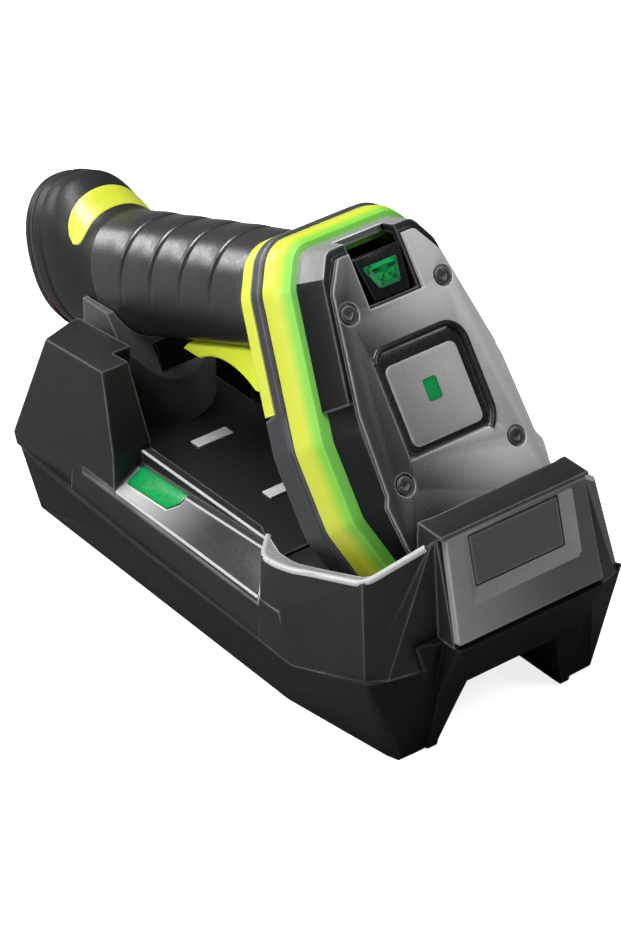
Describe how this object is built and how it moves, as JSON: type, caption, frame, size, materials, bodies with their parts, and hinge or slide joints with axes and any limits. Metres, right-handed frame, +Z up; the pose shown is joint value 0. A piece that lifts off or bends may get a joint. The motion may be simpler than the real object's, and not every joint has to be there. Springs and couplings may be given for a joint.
{
  "type": "handheld barcode scanner",
  "caption": "Rugged cordless pistol-grip barcode scanner standing nose down in its long charging cradle; it lifts out, and its trigger, battery, lock screw and paging button move.",
  "frame": {"origin": "centre of the cradle's four mounting holes, on the plane its rubber feet stand on", "axes": "+Z up; the cradle's front face and cable arch face -Y; its length runs along Y; X runs across it"},
  "size_m": [0.1008, 0.2388, 0.1396],
  "materials": {
    "charcoal_plastic": "satin",
    "black_plastic": "satin",
    "plate_grey": "fine texture",
    "label_grey": "satin",
    "trim_grey": "satin",
    "pale_plastic": "satin",
    "lime_rubber": "satin",
    "lime_plastic": "satin",
    "charcoal_rubber": "matte",
    "red_rubber": "matte",
    "dark_window": "gloss",
    "green_lens": "gloss",
    "battery_wrap": "gloss",
    "circuit_green": "satin",
    "dark_steel": "satin",
    "dark_metal": "satin",
    "steel": "brushed",
    "contact_gold": "polished"
  },
  "bodies": {
    "cradle": {"cradle_base": "black_plastic", "cradle_cover": "charcoal_plastic", "front_panel": "trim_grey", "paging_switch": "circuit_green", "left_trim": "trim_grey", "right_trim": "trim_grey", "status_lens": "green_lens", "status_board": "circuit_green", "handle_saddle": "charcoal_plastic", "deck_pads": "pale_plastic", "contact_block": "black_plastic", "cradle_board": "circuit_green", "power_inlet": "black_plastic", "data_port": "black_plastic", "rubber_feet": "charcoal_rubber", "base_screws": "steel"},
    "scanner": {"upper_housing": "charcoal_plastic", "top_plate": "plate_grey", "plate_screws": "dark_steel", "label_plate": "label_grey", "indicator_window": "green_lens", "ring_bumper": "lime_rubber", "rubber_band": "charcoal_rubber", "lower_housing": "black_plastic", "nose_frame": "charcoal_rubber", "scan_window": "dark_window", "scan_engine": "dark_metal", "illumination_board": "circuit_green", "main_board": "circuit_green", "beeper": "black_plastic", "neck_shell": "lime_plastic", "trigger_pin": "steel", "trigger_spring": "steel", "trigger_switch": "black_plastic", "handle_shell": "black_plastic", "handle_grip": "charcoal_rubber", "handle_collar": "lime_plastic", "handle_boot": "black_plastic", "battery_terminals": "contact_gold", "charge_pads": "contact_gold"},
    "trigger": {"trigger": "lime_plastic"},
    "battery": {"battery_pack": "battery_wrap", "battery_cap": "charcoal_plastic", "cap_gasket": "red_rubber"},
    "lock_screw": {"lock_screw": "steel"},
    "paging_button": {"paging_button": "plate_grey"},
    "contact_pins": {"contact_pins": "contact_gold"}
  },
  "joints": [
    {"name": "scanner_lift", "type": "slide", "parent": "cradle", "child": "scanner", "axis": [0, 0.5878, 0.809], "range_m": [0, 0.12]},
    {"name": "trigger_pull", "type": "hinge", "parent": "scanner", "child": "trigger", "pos_m": [0, 0.00055, 0.08242], "axis": [1, 0, 0], "range_deg": [0, 6], "stiffness_Nm_per_rad": 0.3, "springref_deg": -5.73, "deforming": ["trigger_spring"]},
    {"name": "battery_slide", "type": "slide", "parent": "scanner", "child": "battery", "axis": [0, 0.9336, -0.3584], "range_m": [0, 0.09]},
    {"name": "lock_turn", "type": "hinge", "parent": "battery", "child": "lock_screw", "pos_m": [0, 0.12118, 0.08342], "axis": [0, 0.9336, -0.3584], "range_deg": [0, 90]},
    {"name": "button_press", "type": "slide", "parent": "cradle", "child": "paging_button", "axis": [0, 0.9658, -0.2593], "range_m": [0, 0.0008], "stiffness_N_per_m": 400, "springref_m": -0.0008},
    {"name": "pin_travel", "type": "slide", "parent": "cradle", "child": "contact_pins", "axis": [0, -0.3584, -0.9336], "range_m": [0, 0.0015], "stiffness_N_per_m": 400, "springref_m": -0.0008}
  ]
}
